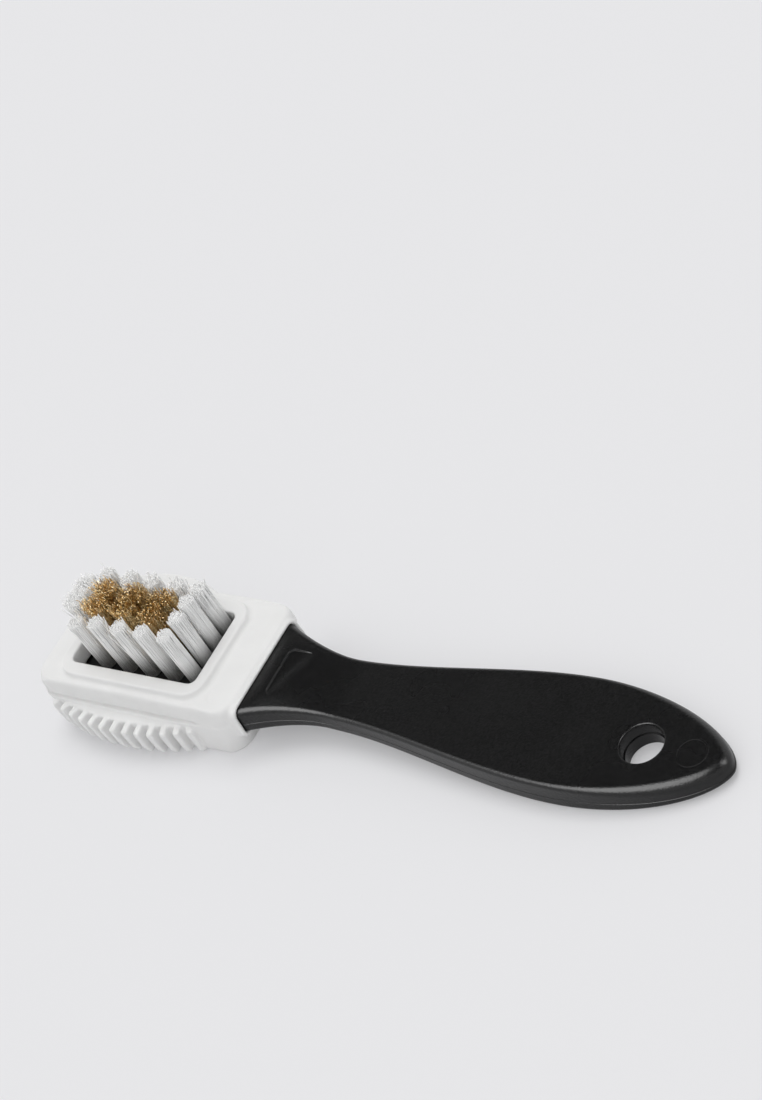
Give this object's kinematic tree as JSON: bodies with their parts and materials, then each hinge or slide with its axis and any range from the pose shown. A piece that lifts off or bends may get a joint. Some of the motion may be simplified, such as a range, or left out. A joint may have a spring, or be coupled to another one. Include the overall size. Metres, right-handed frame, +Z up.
{
  "type": "shoe brush",
  "caption": "Suede shoe brush: a flat black handle with a hang hole, and a pale rubber head sleeve with rubber fins on one side, holding nylon tufts around crimped brass.",
  "frame": {"origin": "under the middle of the overall box, on the plane of the head's flat underside", "axes": "+X from the head to the tip of the handle, +Y away from the finned side, +Z up through the bristles"},
  "size_m": [0.1602, 0.038, 0.026],
  "materials": {
    "black_plastic": "satin moulded",
    "pale_rubber": "matt, pale grey-white",
    "clear_nylon": "translucent filament",
    "crimped_brass": "fine crimped wire",
    "anchor_metal": "cut wire"
  },
  "bodies": {
    "root": {"handle_body": "black_plastic", "head_sleeve": "pale_rubber", "nylon_tuft_01": "clear_nylon", "nylon_tuft_02": "clear_nylon", "nylon_tuft_03": "clear_nylon", "nylon_tuft_04": "clear_nylon", "nylon_tuft_05": "clear_nylon", "nylon_tuft_06": "clear_nylon", "nylon_tuft_07": "clear_nylon", "nylon_tuft_08": "clear_nylon", "nylon_tuft_09": "clear_nylon", "nylon_tuft_10": "clear_nylon", "nylon_tuft_11": "clear_nylon", "nylon_tuft_12": "clear_nylon", "nylon_tuft_13": "clear_nylon", "nylon_tuft_14": "clear_nylon", "brass_tuft_01": "crimped_brass", "brass_tuft_02": "crimped_brass", "brass_tuft_03": "crimped_brass", "brass_tuft_04": "crimped_brass", "brass_tuft_05": "crimped_brass", "brass_tuft_06": "crimped_brass", "tuft_anchor_01": "anchor_metal", "tuft_anchor_02": "anchor_metal", "tuft_anchor_03": "anchor_metal", "tuft_anchor_04": "anchor_metal", "tuft_anchor_05": "anchor_metal", "tuft_anchor_06": "anchor_metal", "tuft_anchor_07": "anchor_metal", "tuft_anchor_08": "anchor_metal", "tuft_anchor_09": "anchor_metal", "tuft_anchor_10": "anchor_metal", "tuft_anchor_11": "anchor_metal", "tuft_anchor_12": "anchor_metal", "tuft_anchor_13": "anchor_metal", "tuft_anchor_14": "anchor_metal", "tuft_anchor_15": "anchor_metal", "tuft_anchor_16": "anchor_metal", "tuft_anchor_17": "anchor_metal", "tuft_anchor_18": "anchor_metal", "tuft_anchor_19": "anchor_metal", "tuft_anchor_20": "anchor_metal"}
  },
  "joints": []
}
